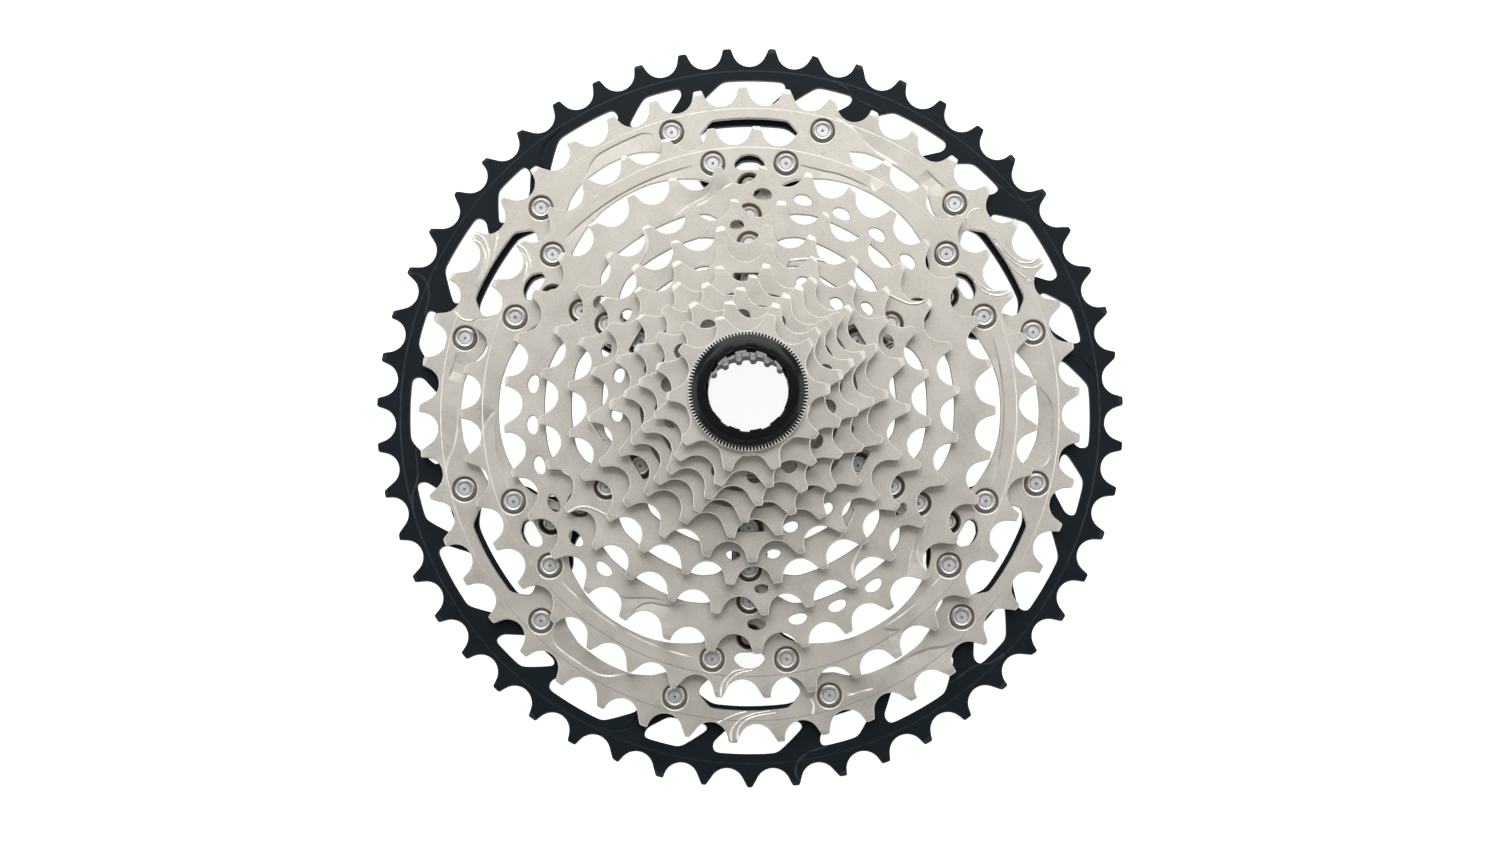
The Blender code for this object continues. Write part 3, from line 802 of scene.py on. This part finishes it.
def make_carrier_middle():
    base = level("carrier_middle")[0]
    lower_top, top = level("sprocket_33t")[0] - CLEARANCE, level("sprocket_28t")[0] - CLEARANCE
    lower_face, upper_face = level("sprocket_33t")[1], level("sprocket_28t")[1]
    bore = splined()
    lower = star([(55.2, 4.5), (56.8, 3.0), (57.4, 0)], HUB)
    upper = star([(46.4, 4.0), (48.0, 2.6), (48.4, 0)], UPPER_HUB)
    add_plate("middle_carrier_arms", "middle_cluster", "carrier_grey", lower, [], base, lower_top,
              ["carrier_middle"], bores=[bore])
    add_plate("middle_carrier_step", "middle_cluster", "carrier_grey", upper, [], lower_top - OVERLAP, top,
              bores=[bore])
    for name in ring("middle_arm_rivet", 6):
        make_rivet(name + "_head", "middle_cluster", centre(name), base + SUNK, lower_face, [name],
                   rim_stain_and_shade=-1.2)
    for number, arm in enumerate(ARMS, 1):
        make_rivet(f"middle_stud_{number}", "middle_cluster", polar(STUDS_28, arm), top - SUNK, upper_face,
                   rim_stain_and_shade=-1.2)


# The small cluster


def make_sprocket_24():
    base, top = level("sprocket_24t")
    inner = mirrored([(0, 40.3), (12, 40.3), (17, 38.5), (21, 34.0), (24.5, 31.0), (30, 30.2)])
    slots = [slot(42.0, 4.1, 2.6, angle) for angle in tooth_angles(24, (1, 2, 9, 10, 17, 18))]
    relief = [tip_bevels(24, *TEETH[24])]
    for ramp in (60.0, 180.0, 300.0):
        line = [(ramp, 45.2), (ramp + 5, 44.2), (ramp + 9, 43.0), (ramp + 14, 41.4)]
        relief.append(ridge(line, 0.2, 0.4, 0.7))
    seats = [seat_at(polar(STUDS_24, arm), 3.4) for arm in ARMS]
    add_plate("sprocket_24", BODY_OF[24], "sprocket_silver", toothed(24), [softened(inner, 0.8)] + slots,
              base, top, ["sprocket_24t"], relief=relief, seats=seats)


def make_sprocket_21():
    base, top = level("sprocket_21t")
    half_window = [(29.8, 0), (29.8, 3.0), (31.0, 4.3), (35.6, 4.3), (35.6, 0)]
    windows = [on_arm(half_window, arm, 0.4) for arm in ARMS]
    slots = [slot(36.3, 4.2, 3.0, angle) for angle in tooth_angles(21, (2, 3, 9, 10, 16, 17))]
    holes = [circle(19.8)] + windows + slots
    add_plate("sprocket_21", BODY_OF[21], "sprocket_silver", toothed(21), holes, base, top, ["sprocket_21t"],
              relief=[tip_bevels(21, *TEETH[21])])


def make_carrier_small():
    base, top = level("carrier_small")
    lower_top, flange_top = level("sprocket_24t")[0] - CLEARANCE, level("sprocket_21t")[0] - CLEARANCE
    lower_face, upper_face = level("sprocket_24t")[1], level("sprocket_21t")[1]
    bore = splined()
    arms = star([(35.5, 4.2), (37.2, 2.8), (37.8, 0)], HUB)
    add_plate("small_carrier_arms", "small_cluster", "carrier_grey", arms, [], base, lower_top,
              ["carrier_small"], bores=[bore])
    add_plate("small_carrier_hub", "small_cluster", "carrier_grey", circle(UPPER_HUB), [],
              lower_top - OVERLAP, top, bores=[bore])
    add_plate("small_carrier_flange", "small_cluster", "carrier_grey", circle(27.2), [circle(18.0)],
              flange_top - 1.2, flange_top)
    for number, arm in enumerate(ARMS, 1):
        make_rivet(f"small_stud_{number}", "small_cluster", polar(STUDS_24, arm), lower_top - SUNK,
                   lower_face, rim_stain_and_shade=-1.2)
    for number, sector in enumerate(SECTORS[::2], 1):
        make_rivet(f"web_stud_{number}", "small_cluster", polar(STUDS_21, sector), flange_top - SUNK,
                   upper_face - 0.2, scale=0.85)


# Loose sprockets and spacers


def make_loose(teeth, holes, collar=None):
    """Sprocket that slides on the freewheel body, with a spacing collar if its radius is given."""
    node_name = f"sprocket_{teeth}t"
    base, top = level(node_name)
    thickness = 1.8
    face = base + thickness
    bore = splined()
    add_plate(f"sprocket_{teeth}", BODY_OF[teeth], "sprocket_silver", toothed(teeth), holes, base, face,
              [node_name], relief=[tip_bevels(teeth, *TEETH[teeth])], bores=[bore])
    if collar:
        add_plate(f"collar_{teeth}", BODY_OF[teeth], "sprocket_silver", circle(collar), [], face - OVERLAP,
                  top, bores=[bore])


def make_spacer(node_name, body):
    base, top = level(node_name)
    outer, inner = 19.5, 15.3  # radii
    add_plate(node_name + "_ring", body, "carrier_grey", circle(outer), [], base, top, [node_name],
              bores=[circle(inner)])


def make_loose_pieces():
    middles = [sector + 23.75 for sector in SECTORS]  # degrees at the middles of the windows
    make_loose(18, [arc_window(21.5, 29.6, 22, middle) for middle in middles])
    make_spacer("spacer_18_16", "spacer_a")
    make_loose(16, [arc_window(20.8, 25.4, 20, middle) for middle in middles])
    make_spacer("spacer_16_14", "spacer_b")
    make_loose(14, [circle(2.1, polar(21.6, angle), 0.4) for angle in tooth_angles(14, range(14))], 18.2)
    make_loose(12, [], 17.0)
    make_loose(10, [], 16.1)


# Lock ring and washer


def make_washer():
    """Ring with fine radial serrations on its face."""
    base, top = level("lock_washer")
    serrations, per_tooth, depth = 108, 6, 0.5
    count = serrations * per_tooth
    face = top + np.where(np.arange(count) % per_tooth < 3, 0.0, -depth)
    shoulder = top - 0.15 + (face - top) * 0.8
    profile = [(13.7, base), (15.95, base), (16.05, top - 0.9), (16.03, shoulder), (15.9, face)]
    profile += [(14.3, face), (14.1, top - 0.1), (13.7, top - 0.1)]
    rings = [ring_at(radius, height, count) for radius, height in profile]

    # crests get a painted highlight and the gaps between them painted shade; the band inside the serrations
    # is darkened with painted shade
    def lit_crests_shaded_gaps(side):
        return 1.0 if side % per_tooth < 3 else -1.3

    shades = {2: lit_crests_shaded_gaps, 3: lit_crests_shaded_gaps, 4: lit_crests_shaded_gaps, 5: -1.0}
    add_turned("serrated_washer", "washer", "washer_steel", rings, shades, ["lock_washer"])


def make_lock_ring():
    """Threaded ring with a bevelled flange and twelve tool notches over a plain bore."""
    base, top = level("lock_ring")
    count = 720
    notch_pitch, first_land, half_land, flank = 30, 10.6, 8.2, 0.6  # degrees
    angle = np.arange(count) * 360 / count
    from_land = np.abs((angle - first_land + notch_pitch / 2) % notch_pitch - notch_pitch / 2)
    notched = 10.75 + 0.7 * np.clip((from_land - half_land) / flank, 0, 1)
    profile = [(11.9, base), (10.7, top - 4.8), (10.7, top - 4.0), (notched, top - 3.9)]
    profile += [(notched, top - 0.3), (notched + 0.3, top), (13.6, top), (13.75, top - 0.05)]
    profile += [(15.0, top - 0.75), (15.15, top - 1.0), (15.15, top - 1.35), (15.0, top - 1.5)]
    profile.append((13.0, top - 1.5))
    for turn in range(6):
        height = top - 1.9 - turn
        profile += [(13.2, height), (13.2, height - 0.1), (12.75, height - 0.45), (12.75, height - 0.6)]
    profile.append((12.9, base))
    rings = [ring_at(radius, height, count) for radius, height in profile]
    # painted sheen on the rims of the notches and on the flange's outer bevel
    shades = {4: 0.5, 6: 0.7, 7: 0.25, 8: 0.4}
    add_turned("lock_ring_body", "ring", "lock_ring_black", rings, shades, ["lock_ring"])


# Surroundings


def make_floor():
    half = 4
    corners = [(-half, -half, 0), (half, -half, 0), (half, half, 0), (-half, half, 0)]
    mesh = bpy.data.meshes.new("floor")
    mesh.from_pydata(corners, [], [(0, 1, 2, 3)])
    mesh.materials.append(plain("pale_floor", (0.9, 0.9, 0.9), 1.0))
    floor = bpy.data.objects.new("floor", mesh)
    floor.location.z = -0.0002  # just clear of the cassette's back
    bpy.context.scene.collection.objects.link(floor)


def add_light(name, place, size, power):
    """Square lamp that faces the origin."""
    light = bpy.data.lights.new(name, "AREA")
    light.size = size
    light.energy = power
    lamp = bpy.data.objects.new(name, light)
    lamp.location = place
    facing = Vector((0, 0, 0)) - Vector(place)
    lamp.rotation_euler = facing.to_track_quat("-Z", "Y").to_euler()
    bpy.context.scene.collection.objects.link(lamp)


def make_light():
    world = bpy.data.worlds.new("studio")
    world.use_nodes = True
    background = world.node_tree.nodes["Background"]
    background.inputs["Color"].default_value = (1.0, 1.0, 1.0, 1)
    background.inputs["Strength"].default_value = 0.4
    bpy.context.scene.world = world
    add_light("overhead", (0.0, 1.1, 1.1), 1.6, 23)
    for side in (-1, 1):
        add_light(f"side_{side}", (1.2 * side, 0.1, 0.6), 0.8, 4)
    bpy.context.scene.view_settings.view_transform = "Standard"


def make_camera():
    """Camera in front of the cassette, a little low, with the top of the picture towards +Y."""
    camera = bpy.data.cameras.new("camera")
    camera.lens = 77.65
    holder = bpy.data.objects.new("camera", camera)
    holder.location = (0.0084, -0.1229, 0.8998)
    target = Vector((0.0001, -0.0023, 0.002))
    aim = (target - holder.location).normalized()
    holder.rotation_euler = (math.asin(aim.y), math.atan2(-aim.x, -aim.z), 0)
    bpy.context.scene.collection.objects.link(holder)
    bpy.context.scene.camera = holder


def main():
    make_sprocket_51()
    make_sprocket_45()
    make_sprocket_39()
    make_carrier_large()
    make_large_rivets()
    make_sprocket_33()
    make_sprocket_28()
    make_carrier_middle()
    make_sprocket_24()
    make_sprocket_21()
    make_carrier_small()
    make_loose_pieces()
    make_washer()
    make_lock_ring()
    make_floor()
    make_light()
    make_camera()


main()
